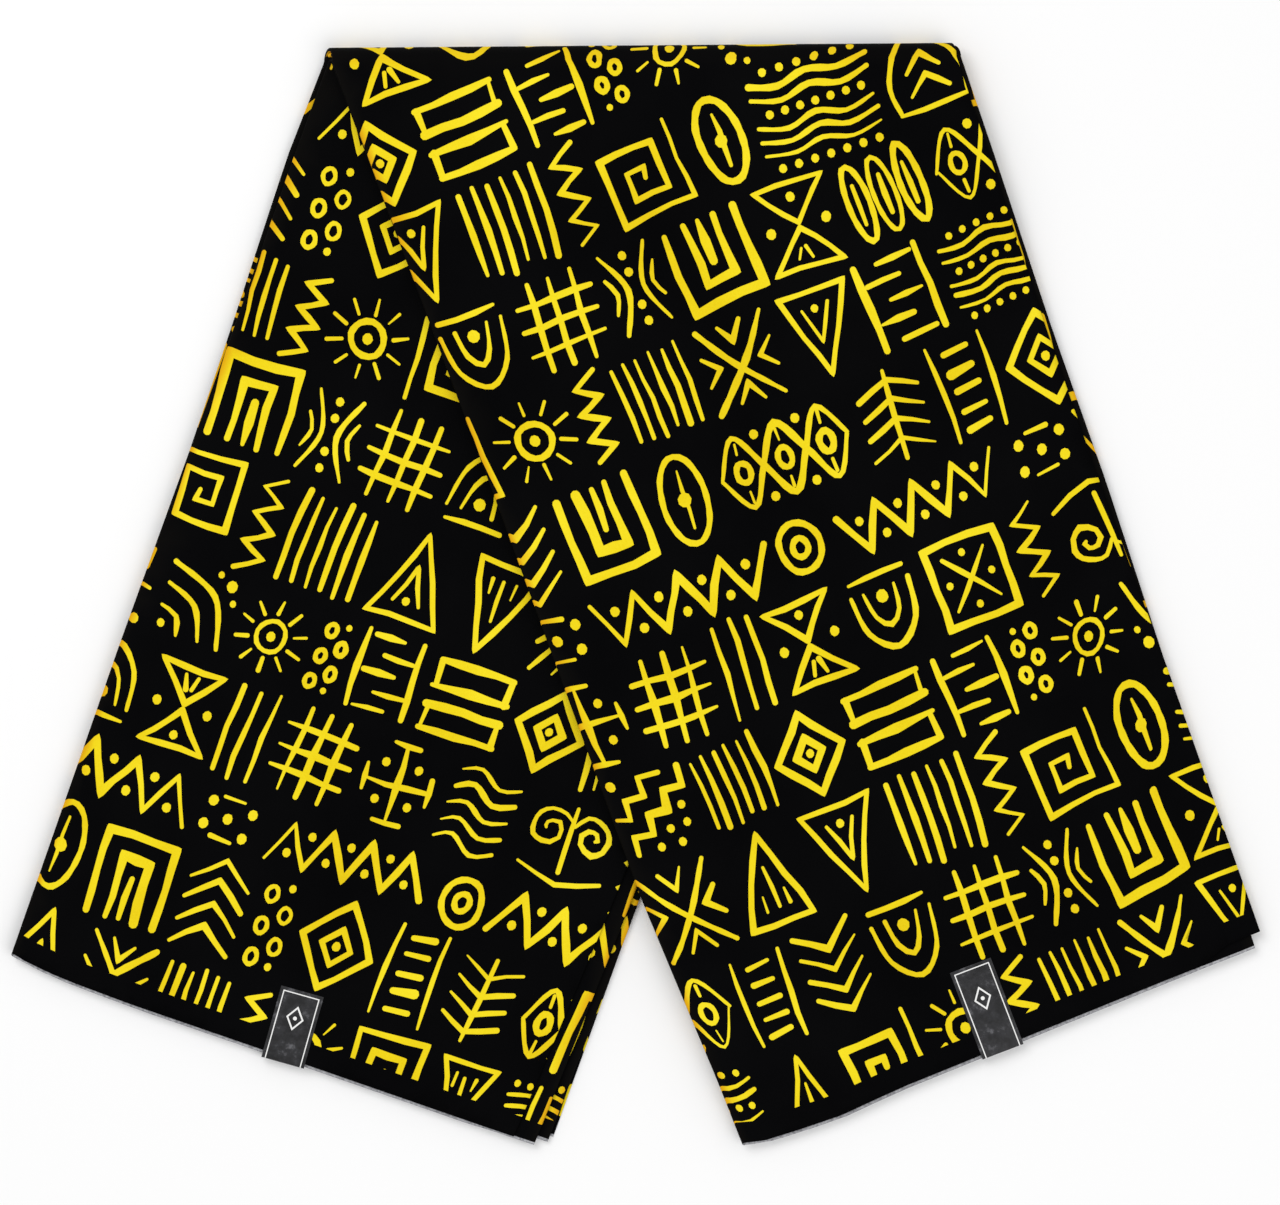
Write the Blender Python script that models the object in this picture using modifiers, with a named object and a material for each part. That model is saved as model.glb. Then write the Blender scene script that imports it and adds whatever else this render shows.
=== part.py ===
"""African wax print cloth, as it is folded for sale.

A length of cotton is folded back and forth, selvedge lying on selvedge, into a strip six layers deep. The
strip is laid over once, a little askew, so that its two ends point down like a pair of short trouser legs.
A foil label is stuck over each end. X runs along the fold, Y from the ends up to the fold, Z up.
"""

import math

import bpy

# Driving dimensions, in metres
CLOTH_THICK = 0.0010
LAYER_PITCH = 0.00135
LAYERS = 6
LEG_GAP = 0.0010
STACK = (LAYERS - 1) * LAYER_PITCH + CLOTH_THICK
TURN_RADIUS = LAYER_PITCH / 2
FOLD_HEIGHT = STACK + LEG_GAP / 2
LABEL_THICK = 0.0010
LABEL_CLEAR = 0.0003
LABEL_TURN = 0.0015
LABEL_TURN_STEPS = 4

# Corners of the strip seen from above, in metres: lower leg's end, fold line, upper leg's end
CORNERS = {
    "start": ((-0.3405, -0.1963), (-0.0435, -0.2955)),
    "fold": ((-0.1677, 0.2980), (0.1739, 0.3007)),
    "end": ((0.0578, -0.2999), (0.3417, -0.1849)),
}

# How far aside the strip slips as it goes half-way over the fold, for each metre round it, and at most
FOLD_SLOPE = 0.354
FOLD_DRIFT = 0.0028

# The upper leg lies on the lower one, then eases down to the surface to the right of the lower leg
EASE_FROM = 0.028
EASE_OVER = 0.090

# How far an end runs out past the straight line between its corners: share of the width, millimetres
START_BOW = ((0, 0), (0.03, 2.0), (0.10, 4.3), (0.24, 5.8), (0.54, 6.6), (0.84, 7.6), (0.96, 8.0), (1, 8.0))
END_BOW = ((0, 0), (0.03, 3.0), (0.10, 4.8), (0.18, 6.2), (0.30, 4.5), (0.84, 4.4), (0.96, 5.0), (1, 5.0))

# How far a long side stands out past its straight line: share of the leg from the end, millimetres
SIDE_BOW = {
    "lower left": ((0, 0), (0.35, 0.8), (0.7, -0.5), (1, 0)),
    "lower right": ((0, 0), (0.2, 0.6), (0.6, -0.6), (1, 0)),
    "upper left": ((0, 0), (0.06, 0.4), (0.23, 4.0), (0.6, 1.2), (1, 0)),
    "upper right": ((0, 0), (0.3, 0.6), (0.7, -0.8), (1, 0)),
}

# Each turn of the cloth at a long side, the first and last being its two cut edges: side 0 is the left one.
# The other columns are how far it lies in from the side along the strip, in millimetres.
TURNS = (
    {"side": 1, "start": 4.0, "low": 3.0, "neck": 2.0, "fold": 1.5, "mid": 2.6, "end": 0.0},
    {"side": 0, "start": 1.5, "low": 2.0, "neck": 0.6, "fold": 0.0, "mid": 0.0, "end": 0.4},
    {"side": 1, "start": 0.0, "low": 1.0, "neck": 0.5, "fold": 0.0, "mid": 0.0, "end": 4.0},
    {"side": 0, "start": 3.0, "low": 1.0, "neck": -2.4, "fold": 0.6, "mid": 2.0, "end": 2.5},
    {"side": 1, "start": 3.0, "low": 0.0, "neck": 1.0, "fold": 1.2, "mid": 1.0, "end": 6.0},
    {"side": 0, "start": 0.0, "low": 0.0, "neck": 0.0, "fold": 1.0, "mid": 1.6, "end": 3.2},
    {"side": 1, "start": 7.5, "low": 2.6, "neck": 1.5, "fold": 2.0, "mid": 3.0, "end": 8.0},
)
TURN_AT = {"start": 0.0, "low": 0.25, "neck": 0.43, "fold": 0.5, "mid": 0.75, "end": 1.0}

# Each layer's ends against the bow: how far it peeks out and its right corner falls short, in millimetres
LAYER_ENDS = (
    {"start_peek": 0.8, "start_corner": 7.5, "end_peek": 0.0, "end_corner": 5.0},
    {"start_peek": 1.2, "start_corner": 6.0, "end_peek": 0.9, "end_corner": 0.0},
    {"start_peek": 0.4, "start_corner": 5.5, "end_peek": 1.2, "end_corner": 0.5},
    {"start_peek": 1.1, "start_corner": 4.5, "end_peek": 0.5, "end_corner": 1.0},
    {"start_peek": 0.7, "start_corner": 2.0, "end_peek": 1.1, "end_corner": 0.2},
    {"start_peek": 0.0, "start_corner": 0.5, "end_peek": 0.7, "end_corner": 2.0},
)
CORNER_FROM = 0.96

# Where the mesh has its lines: across a layer, round a turn, along each leg and over the fold
ACROSS = (0, 0.03, 0.10, 0.24, 0.39, 0.54, 0.69, 0.84, 0.96, 1)
TURN_STEPS = 4
LOWER_STATIONS = (0, 0.12, 0.27, 0.42, 0.57, 0.72, 0.85, 0.94)
FOLD_STEPS = 8
UPPER_STATIONS = (
    1, 0.97, 0.92, 0.87, 0.82, 0.77, 0.72, 0.67, 0.62, 0.57,
    0.51, 0.45, 0.39, 0.32, 0.25, 0.18, 0.11, 0.05, 0,
)
FOLD_SHARE = 0.04

# The labels: middle of the outer bottom edge, way along that edge, way up the label, and sizes in metres
LABELS = {
    "label_left": {
        "at": (-0.1929, -0.2559), "along": (0.9485, -0.3168), "up": (0.2706, 0.9627),
        "width": 0.024, "length": 0.0405, "drop": 0.0056,
    },
    "label_right": {
        "at": (0.2004, -0.2499), "along": (0.9270, 0.3751), "up": (-0.3564, 0.9343),
        "width": 0.0238, "length": 0.0505, "drop": 0.0056,
    },
}


def clear_scene():
    for obj in list(bpy.data.objects):
        bpy.data.objects.remove(obj, do_unlink=True)


def add_collection(name):
    """A collection in the scene that the objects made after it go into."""
    made = bpy.data.collections.new(name)
    bpy.context.scene.collection.children.link(made)
    layer = bpy.context.view_layer.layer_collection.children[name]
    bpy.context.view_layer.active_layer_collection = layer


def lerp(a, b, share):
    return a + (b - a) * share


def read_table(table, at):
    """The value of a table of (place, value) rows at a place, straight between rows."""
    for (x0, y0), (x1, y1) in zip(table, table[1:]):
        if at <= x1:
            return lerp(y0, y1, (at - x0) / (x1 - x0))
    return table[-1][1]


def inset(turn, strip):
    """How far in from its side a turn lies, in metres, at a share of the way along the strip."""
    row = TURNS[turn]
    return 0.001 * read_table([(place, row[name]) for name, place in TURN_AT.items()], strip)


def layer_value(name, level):
    """A column of LAYER_ENDS at a height in the stack, in layers."""
    low = min(int(level), LAYERS - 2)
    return lerp(LAYER_ENDS[low][name], LAYER_ENDS[low + 1][name], level - low)


def columns():
    """The way back and forth through the stack: (share of width, level, left turn, right turn, bulge).

    Layer 0 starts at the right side, so turn j is where layer j begins and turn j + 1 where it ends.
    """
    found = []
    for layer in range(LAYERS):
        rightwards = layer % 2 == 1
        left, right = (layer, layer + 1) if rightwards else (layer + 1, layer)
        shares = ACROSS if rightwards else ACROSS[::-1]
        found += [(share, layer, left, right, 0.0) for share in shares]
        if layer == LAYERS - 1:
            break
        side = 1 if rightwards else 0
        for step in range(1, TURN_STEPS):
            angle = math.pi * step / TURN_STEPS
            level = layer + 0.5 - 0.5 * math.cos(angle)
            found.append((side, level, layer + 1, layer + 1, TURN_RADIUS * math.sin(angle)))
    return found


def stations():
    """Places along the strip: (leg, share of the leg from its end, angle over the fold, share of strip)."""
    leg_share = (1 - FOLD_SHARE) / 2
    lower = [("lower", share, 0.0, leg_share * share) for share in LOWER_STATIONS]
    upper = [("upper", share, math.pi, 1 - leg_share * share) for share in UPPER_STATIONS]
    turns = [step / FOLD_STEPS for step in range(FOLD_STEPS)]
    fold = [("fold", 1.0, math.pi * turn, leg_share + FOLD_SHARE * turn) for turn in turns]
    return lower + fold + upper


def between(corners, share):
    (x0, y0), (x1, y1) = corners
    return lerp(x0, x1, share), lerp(y0, y1, share)


def direction(a, b):
    length = math.hypot(b[0] - a[0], b[1] - a[1])
    return (b[0] - a[0]) / length, (b[1] - a[1]) / length


def drift(turn):
    """How far aside a turn slips in the first half of the fold: less for the inner layers, which go round less."""
    radius = FOLD_HEIGHT - CLOTH_THICK / 2 - min(max(turn - 0.5, 0), LAYERS - 1) * LAYER_PITCH
    return min(FOLD_SLOPE * radius * math.pi / 2, FOLD_DRIFT)


def fold_line(column, angle):
    """The point of the fold's axis that a column of the strip goes over, at an angle round the fold."""
    share, _, left, right, _ = column
    x, y = between(CORNERS["fold"], share)
    return x - lerp(drift(left), drift(right), share) * math.cos(angle), y - FOLD_HEIGHT


def end_point(leg, share, level):
    """A point of the lower or upper leg's end, with its bow, peeks and corners."""
    name = "start" if leg == "lower" else "end"
    bow = read_table(START_BOW if name == "start" else END_BOW, share)
    bow += layer_value(name + "_peek", level)
    if share > CORNER_FROM:
        bow -= layer_value(name + "_corner", level) * (share - CORNER_FROM) / (1 - CORNER_FROM)
    x, y = between(CORNERS[name], share)
    dx, dy = direction(between(CORNERS["fold"], 0.5), between(CORNERS[name], 0.5))
    return x + 0.001 * bow * dx, y + 0.001 * bow * dy


def plan_point(column, station):
    """Where a point of the cloth lies seen from above, before the fold's roundness is added."""
    share, level, left, right, bulge = column
    leg, from_end, angle, strip = station
    x, y = fold_line(column, angle)
    across = direction(*CORNERS["fold"])
    left_bow = right_bow = 0.0
    if leg != "fold":
        end_x, end_y = end_point(leg, share, level)
        x, y = lerp(end_x, x, from_end), lerp(end_y, y, from_end)
        end_across = direction(*CORNERS["start" if leg == "lower" else "end"])
        across = tuple(lerp(a, b, from_end) for a, b in zip(end_across, across))
        left_bow = 0.001 * read_table(SIDE_BOW[leg + " left"], from_end)
        right_bow = 0.001 * read_table(SIDE_BOW[leg + " right"], from_end)
    push_left = TURN_RADIUS + inset(left, strip) - bulge - left_bow
    push_right = TURN_RADIUS + inset(right, strip) - bulge - right_bow
    push = (1 - share) * push_left - share * push_right
    return x + push * across[0], y + push * across[1]


def ease_down(x, y):
    """How much of the way down to the surface the upper leg has come: none over the lower leg."""
    qx, qy = CORNERS["fold"][1]
    dx, dy = direction(CORNERS["fold"][1], CORNERS["start"][1])
    right_of_lower = -(x - qx) * dy + (y - qy) * dx
    share = min(max((right_of_lower - EASE_FROM) / EASE_OVER, 0), 1)
    return share * share * (3 - 2 * share)


def cloth_point(column, station):
    height = CLOTH_THICK / 2 + column[1] * LAYER_PITCH
    radius = FOLD_HEIGHT - height
    angle = station[2]
    x, y = plan_point(column, station)
    z = FOLD_HEIGHT - radius * math.cos(angle)
    if station[0] == "upper":
        z -= (STACK + LEG_GAP) * ease_down(x, y)
    return x, y + radius * math.sin(angle), z


def material(name, colour, roughness, metallic):
    made = bpy.data.materials.new(name)
    made.use_nodes = True
    shader = made.node_tree.nodes["Principled BSDF"]
    shader.inputs["Base Color"].default_value = (*colour, 1)
    shader.inputs["Roughness"].default_value = roughness
    shader.inputs["Metallic"].default_value = metallic
    return made


def sheet(name, rows, thickness, made):
    """A grid whose points take the places in rows, thickened evenly to both sides."""
    bpy.ops.mesh.primitive_grid_add(x_subdivisions=len(rows[0]) - 1, y_subdivisions=len(rows) - 1)
    obj = bpy.context.active_object
    obj.name = name
    flat = [value for row in rows for point in row for value in point]
    obj.data.vertices.foreach_set("co", flat)
    obj.data.update()
    # The same diagonals in every layer, so that layers lie evenly on each other where they bend
    split = obj.modifiers.new("triangles", "TRIANGULATE")
    split.quad_method = "SHORTEST_DIAGONAL"
    thicken = obj.modifiers.new("thickness", "SOLIDIFY")
    thicken.thickness = thickness
    thicken.offset = 0
    thicken.use_even_offset = True
    obj.data.materials.append(made)
    return obj


def add_cloth(made):
    path = columns()
    rows = [[cloth_point(column, station) for column in path] for station in stations()]
    return sheet("cloth", rows, CLOTH_THICK, made)


def label_profile(length, drop):
    """The label's middle line from its inner end to its turned-down end: (way in from outside, height)."""
    out = LABEL_THICK / 2
    top = STACK + LABEL_CLEAR + LABEL_THICK / 2
    points = [(length, top), (length * 0.5, top)]
    for step in range(LABEL_TURN_STEPS + 1):
        angle = math.pi / 2 * step / LABEL_TURN_STEPS
        points.append((out + LABEL_TURN * (1 - math.sin(angle)), top - LABEL_TURN * (1 - math.cos(angle))))
    points.append((out, top + LABEL_THICK / 2 - drop))
    return points


def add_label(name, made):
    row = LABELS[name]
    ax, ay = row["along"]
    ux, uy = row["up"]
    rows = []
    for inwards, height in label_profile(row["length"], row["drop"]):
        rows.append([
            (row["at"][0] + ax * side + ux * inwards, row["at"][1] + ay * side + uy * inwards, height)
            for side in (-row["width"] / 2, 0, row["width"] / 2)
        ])
    return sheet(name, rows[::-1], LABEL_THICK, made)


def main():
    clear_scene()
    add_collection("wax_print_cloth")
    cotton = material("wax_print_cotton", (0.003, 0.003, 0.004), 0.75, 0)
    foil = material("label_foil", (0.035, 0.036, 0.04), 0.35, 0.2)
    add_cloth(cotton)
    add_label("label_left", foil)
    add_label("label_right", foil)


main()
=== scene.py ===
# %% [markdown]
# A length of African wax print cotton, folded the way a cloth seller lays it out: back and forth into a
# strip six layers deep, which is laid over once, a little askew, with a foil label stuck over each end. The
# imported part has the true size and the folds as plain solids. This script dresses it with the thin printed
# cloth, the labels, the materials, the floor, the light and the camera.

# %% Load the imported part
import math
import random
from functools import partial

import bpy
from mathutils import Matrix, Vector
from mathutils.geometry import delaunay_2d_cdt


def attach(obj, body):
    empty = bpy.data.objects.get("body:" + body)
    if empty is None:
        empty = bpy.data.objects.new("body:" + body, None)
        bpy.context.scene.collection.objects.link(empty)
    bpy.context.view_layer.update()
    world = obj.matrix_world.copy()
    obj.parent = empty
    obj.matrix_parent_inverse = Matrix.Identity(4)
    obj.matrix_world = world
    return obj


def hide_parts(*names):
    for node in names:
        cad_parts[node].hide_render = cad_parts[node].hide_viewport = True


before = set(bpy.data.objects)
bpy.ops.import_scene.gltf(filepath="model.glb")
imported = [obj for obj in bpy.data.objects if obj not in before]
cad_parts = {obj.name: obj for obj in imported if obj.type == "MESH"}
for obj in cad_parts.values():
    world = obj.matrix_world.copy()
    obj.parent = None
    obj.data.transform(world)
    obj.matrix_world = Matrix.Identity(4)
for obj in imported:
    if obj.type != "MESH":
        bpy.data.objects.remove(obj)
bpy.ops.object.select_all(action="DESELECT")
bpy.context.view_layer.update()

# %% [markdown]
# The camera looks straight down, as the photographer did. A long lens from nearly three metres up keeps the
# near layers from looking larger than the far ones. The picture takes in 0.698 m from side to side.

# %% Hang the camera
VIEW_WIDTH = 0.6976
VIEW_MIDDLE = (0.0022, -0.0047)
VIEW_LEVEL = 0.012
LENS = 150.0
SENSOR = 36

camera_height = VIEW_LEVEL + VIEW_WIDTH * LENS / SENSOR
bpy.ops.object.camera_add(location=(*VIEW_MIDDLE, camera_height), rotation=(0, 0, 0))
camera = bpy.context.active_object
camera.name = "camera_overhead"
camera.data.lens = LENS
bpy.context.scene.camera = camera
print("The camera hangs", round(camera.location.z, 3), "m up")

# %% [markdown]
# A folded cloth could be draped by simulation, but a pile of flat layers is easier to lay by rule: every
# point of the flat cloth has one place in the pile. The sizes here are the part's own. Real cotton is
# thinner than its layers stand apart, so this sheet is 0.7 mm thick, and air lies between.

# %% Sizes of the pile
SHEET_THICK = 0.0007
LAYERS = 6
STACK = 0.00775
LEG_GAP = 0.0010
PITCH = (STACK - SHEET_THICK) / (LAYERS - 1)
TURN_RADIUS = PITCH / 2
FOLD_HEIGHT = STACK + LEG_GAP / 2
STRIP_WIDTH = 0.316
TURN_ARC = math.pi * TURN_RADIUS
RUN = STRIP_WIDTH + TURN_ARC
CLOTH_LENGTH = LAYERS * STRIP_WIDTH + (LAYERS - 1) * TURN_ARC
CLOTH_WIDTH = 1.168
print("The flat cloth is", CLOTH_WIDTH, "by", round(CLOTH_LENGTH, 3), "m")

# %% [markdown]
# These tables say how uneven the pile is. Corners are in metres and the rest in millimetres: how far an end
# bows out, a long side stands out, a turn lies in, and a layer's end peeks out under the next.

# %% Tables of the pile
MM = 0.001
CORNERS = {
    "start": ((-0.3405, -0.1963), (-0.0435, -0.2955)),
    "fold": ((-0.1677, 0.2980), (0.1739, 0.3007)),
    "end": ((0.0578, -0.2999), (0.3417, -0.1849)),
}
FOLD_SLOPE = 0.354
FOLD_DRIFT = 0.0028
EASE_FROM = 0.028
EASE_OVER = 0.090
START_BOW = ((0, 0), (0.03, 2.0), (0.10, 4.3), (0.24, 5.8), (0.54, 6.6), (0.84, 7.6), (0.96, 8.0), (1, 8.0))
END_BOW = ((0, 0), (0.03, 3.0), (0.10, 4.8), (0.18, 6.2), (0.30, 4.5), (0.84, 4.4), (0.96, 5.0), (1, 5.0))
SIDE_BOW = {
    "start left": ((0, 0), (0.35, 0.8), (0.7, -0.5), (1, 0)),
    "start right": ((0, 0), (0.2, 0.6), (0.6, -0.6), (1, 0)),
    "end left": ((0, 0), (0.06, 0.4), (0.23, 4.0), (0.6, 1.2), (1, 0)),
    "end right": ((0, 0), (0.3, 0.6), (0.7, -0.8), (1, 0)),
}
TURN_PLACES = (0.0, 0.25, 0.43, 0.5, 0.75, 1.0)
TURN_INSETS = (
    (0.5, 3.0, 2.0, 1.5, 2.6, 0.0),
    (1.5, 2.0, 0.6, 0.0, 0.0, 0.4),
    (3.5, 0.5, 0.5, 0.0, 0.0, 6.5),
    (3.0, 1.0, -2.4, 0.6, 2.0, 2.5),
    (10.0, 2.0, 1.0, 1.2, 1.0, 8.5),
    (0.0, 0.0, 0.0, 1.0, 1.6, 3.2),
    (21.0, 7.0, 1.5, 2.0, 3.0, 12.0),
)
LAYER_ENDS = {
    "start peek": (1.5, 2.0, 1.2, 1.8, 1.5, 0.0),
    "start corner": (7.5, 4.5, 4.0, 1.0, 0.5, 0.0),
    "end peek": (0.0, 1.5, 1.9, 1.3, 1.8, 1.6),
    "end corner": (6.0, 0.0, 0.5, 2.0, 2.2, 3.5),
}
CORNER_FROM = 0.875
CORNER_OVER = 0.0625
LEG_SHARE = 0.48
print(len(TURN_INSETS) - 2, "turns lie between the cloth's two cut edges")


# %% Read a table
def mix(a, b, share):
    return a + (b - a) * share


def read_table(table, at):
    """The value of a table of (place, value) rows, straight between rows."""
    for (x0, y0), (x1, y1) in zip(table, table[1:]):
        if at <= x1:
            return mix(y0, y1, (at - x0) / (x1 - x0))
    return table[-1][1]


def between(corners, share):
    return Vector(corners[0]).lerp(Vector(corners[1]), share)


def way_from(start, stop):
    return (Vector(stop) - Vector(start)).normalized()


def beside_line(x, y, top, bottom):
    """How far a point seen from above lies to the right of the line from top down to bottom."""
    way = way_from(top, bottom)
    top = Vector(top)
    return (y - top.y) * way.x - (x - top.x) * way.y


print("Half-way up, the lower left side stands out by", read_table(SIDE_BOW["start left"], 0.5), "mm")


# %% [markdown]
# A place on the flat cloth is told by two lengths: how far it is from the first selvedge, and how far along
# the cloth. The second one says in which layer it lies, or in which turn between two layers. The first says
# whether it lies on the lower leg, in the fold or on the upper leg.

# %% From the flat cloth to its layer
def column_at(along):
    """The layer or turn that a length along the cloth falls in: share of the width, level, turns, bulge."""
    layer = min(max(int(along // RUN), 0), LAYERS - 1)
    inside = along - layer * RUN
    rightwards = layer % 2 == 1
    if inside <= STRIP_WIDTH or layer == LAYERS - 1:
        share = min(max(inside / STRIP_WIDTH, 0), 1)
        if rightwards:
            return share, layer, layer, layer + 1, 0.0
        return 1 - share, layer, layer + 1, layer, 0.0
    angle = math.pi * (inside - STRIP_WIDTH) / TURN_ARC
    level = layer + 0.5 - 0.5 * math.cos(angle)
    return (1 if rightwards else 0), level, layer + 1, layer + 1, TURN_RADIUS * math.sin(angle)


def turn_inset(turn, strip):
    return MM * read_table(tuple(zip(TURN_PLACES, TURN_INSETS[turn])), strip)


def fold_radius(level):
    return FOLD_HEIGHT - SHEET_THICK / 2 - level * PITCH


def drift(turn):
    """How far aside a turn slips in half the fold: less for the inner layers, which go round less."""
    return min(FOLD_SLOPE * fold_radius(min(max(turn - 0.5, 0), LAYERS - 1)) * math.pi / 2, FOLD_DRIFT)


def fold_point(column, angle):
    share, _, left, right, _ = column
    x, y = between(CORNERS["fold"], share)
    return Vector((x - mix(drift(left), drift(right), share) * math.cos(angle), y - FOLD_HEIGHT))


def end_point(column, name):
    """A point of the lower leg's start or the upper leg's end, with its bow, peek and corner."""
    share, level = column[:2]
    low = min(int(level), LAYERS - 2)
    pairs = [LAYER_ENDS[f"{name} {kind}"][low:low + 2] for kind in ("peek", "corner")]
    peek, corner = (mix(*pair, level - low) for pair in pairs)
    out = read_table(START_BOW if name == "start" else END_BOW, share) + peek
    out -= corner * min(max((share - CORNER_FROM) / CORNER_OVER, 0), 1)
    way = way_from(between(CORNERS["fold"], 0.5), between(CORNERS[name], 0.5))
    return between(CORNERS[name], share) + way * out * MM


def leg_lengths(column):
    """How long the cloth runs on the lower leg, round the fold and on the upper leg, in metres."""
    lower = (fold_point(column, 0) - end_point(column, "start")).length
    upper = (fold_point(column, math.pi) - end_point(column, "end")).length
    return lower, math.pi * fold_radius(column[1]), upper


first = column_at(0.1)
print("At 0.1 m along, the cloth runs", [round(length, 4) for length in leg_lengths(first)], "m")


# %% [markdown]
# The pile isn't quite flat. Crisp cotton lies in soft ridges and hollows, most of all beside the fold and
# where the upper leg comes down off the lower one. Each row of this table is a ridge, or a trough where its
# height is below nought. It lifts all the layers together, and the lowest not at all, so they never cross.
# The whole pile lies a hair's breadth above the floor.

# %% Ridges and hollows
FLOOR_CLEAR = 0.00006
# Each row: middle x and y, turn in degrees, half length, half width, and height in millimetres.
RIDGES = (
    (-0.120, 0.255, 62, 0.060, 0.020, 0.6),
    (-0.088, 0.215, 70, 0.075, 0.018, -0.4),
    (0.020, 0.270, 4, 0.120, 0.020, 0.5),
    (0.125, 0.262, -34, 0.050, 0.018, 0.5),
    (0.060, 0.120, -64, 0.140, 0.030, 0.5),
    (0.190, 0.030, -70, 0.160, 0.026, -0.5),
    (0.110, -0.090, -58, 0.110, 0.024, 0.6),
    (0.245, -0.110, -72, 0.090, 0.020, 0.5),
    (-0.215, 0.020, 68, 0.130, 0.022, 0.5),
    (-0.150, -0.110, 74, 0.120, 0.026, -0.5),
    (-0.270, -0.150, 60, 0.070, 0.018, 0.6),
    (-0.085, -0.215, 80, 0.060, 0.016, 0.5),
)


def ridge_height(x, y):
    """How far the ridges lift the top of the pile at a point seen from above, in metres."""
    total = 0.0
    for middle_x, middle_y, turn, half_length, half_width, height in RIDGES:
        angle = math.radians(turn)
        dx = x - middle_x
        dy = y - middle_y
        along = (dx * math.cos(angle) + dy * math.sin(angle)) / half_length
        across = (-dx * math.sin(angle) + dy * math.cos(angle)) / half_width
        total += MM * height * math.exp(-along * along - across * across)
    return total


def ease_down(x, y):
    """How much of the way down to the floor the upper leg has come: none over the lower leg."""
    beside = beside_line(x, y, CORNERS["fold"][1], CORNERS["start"][1])
    share = min(max((beside - EASE_FROM) / EASE_OVER, 0), 1)
    return share * share * (3 - 2 * share)


def lift(x, y, z):
    return z + ridge_height(x, y) * z / (2 * FOLD_HEIGHT) + FLOOR_CLEAR


print("The largest ridge stands", max(row[-1] for row in RIDGES), "mm high")


# %% [markdown]
# Now the whole rule. A leg is straight between its end and the fold line, with its sides pushed in or out
# by the tables. In the fold each layer goes round its own half circle. The upper leg then comes down to
# the floor beside the lower one.

# %% From the flat cloth to its place in the pile
def pile_point(column, station):
    """A place in the pile. The column says which layer and how far across, the station how far along."""
    share, level, left, right, bulge = column
    leg, from_end, angle = station
    strip = {
        "start": LEG_SHARE * from_end,
        "fold": LEG_SHARE + (1 - 2 * LEG_SHARE) * angle / math.pi,
        "end": 1 - LEG_SHARE * from_end,
    }[leg]
    point = fold_point(column, angle)
    across = way_from(*CORNERS["fold"])
    push_left, push_right = (TURN_RADIUS + turn_inset(turn, strip) - bulge for turn in (left, right))
    if leg != "fold":
        point = end_point(column, leg).lerp(point, from_end)
        across = way_from(*CORNERS[leg]).lerp(across, from_end)
        push_left -= MM * read_table(SIDE_BOW[f"{leg} left"], from_end)
        push_right -= MM * read_table(SIDE_BOW[f"{leg} right"], from_end)
    point = point + across * ((1 - share) * push_left - share * push_right)
    radius = fold_radius(level)
    z = FOLD_HEIGHT - radius * math.cos(angle)
    if leg == "end":
        z -= (STACK + LEG_GAP) * ease_down(*point)
    y = point.y + radius * math.sin(angle)
    return point.x, y, lift(point.x, y, z)


def station_at(up, lengths):
    """The leg and the share of it, or the angle in the fold, for a distance from the first selvedge."""
    lower, arc, upper = lengths
    run = up * sum(lengths) / CLOTH_WIDTH
    if run <= lower:
        return "start", run / lower, 0.0
    if run < lower + arc:
        return "fold", 1.0, math.pi * (run - lower) / arc
    return "end", min(max((sum(lengths) - run) / upper, 0), 1), math.pi


def folded(up, along):
    """Where a point of the flat cloth lies in the pile."""
    column = column_at(along)
    return pile_point(column, station_at(up, leg_lengths(column)))


middle = folded(CLOTH_WIDTH / 2, CLOTH_LENGTH / 2)
print("The middle of the flat cloth lies at", [round(part, 4) for part in middle])

# %% [markdown]
# The mesh needs lines where the cloth bends: close together round each turn and over the fold, and about
# 20 mm apart on the legs. Every layer has them at the same places, so no layer cuts through the next.

# %% Lines of the mesh
TURN_STEPS = 6
FOLD_STEPS = 12
LEG_STEPS = 30
LAYER_STEPS = 16


def lines_along():
    """Lengths along the cloth at which the mesh has a line, and which of them lie in a turn."""
    found = []
    bent = []
    for layer in range(LAYERS):
        for step in range(LAYER_STEPS + 1):
            found.append(layer * RUN + step / LAYER_STEPS * STRIP_WIDTH)
            bent.append(step in (0, LAYER_STEPS))
        if layer < LAYERS - 1:
            for step in range(1, TURN_STEPS):
                found.append(layer * RUN + STRIP_WIDTH + TURN_ARC * step / TURN_STEPS)
                bent.append(True)
    return found, bent


def lines_up():
    """The places from selvedge to selvedge at which the mesh has a line."""
    found = [("start", step / LEG_STEPS, 0.0) for step in range(LEG_STEPS)]
    found += [("fold", 1.0, math.pi * step / FOLD_STEPS) for step in range(FOLD_STEPS)]
    found += [("end", 1 - step / LEG_STEPS, math.pi) for step in range(LEG_STEPS + 1)]
    return found


def up_of(station, lengths):
    """How far from the first selvedge a line lies on the flat cloth."""
    lower, arc, upper = lengths
    leg, from_end, angle = station
    run = {
        "start": lower * from_end,
        "fold": lower + arc * angle / math.pi,
        "end": lower + arc + upper * (1 - from_end),
    }[leg]
    return run * CLOTH_WIDTH / sum(lengths)


along_lines, along_bent = lines_along()
up_lines = lines_up()
print(len(along_lines), "lines along by", len(up_lines), "lines up")

# %% [markdown]
# The print. Wax print cotton is dyed black over yellow, and the motifs stay yellow where wax keeps the dye
# off. This one has hand-drawn strokes in rows: fences, combs, suns, hooks and zigzags of the kind that many
# West African cloths share, drawn for this script and in its own order. An image would blur close by, and a
# web of shader nodes for thousands of strokes would be slow, so each stroke is cut into the mesh.
#
# A chart's squares are a tenth of its row high. Each motif is its width in squares and its strokes, whose
# points are written as x,y.

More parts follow.
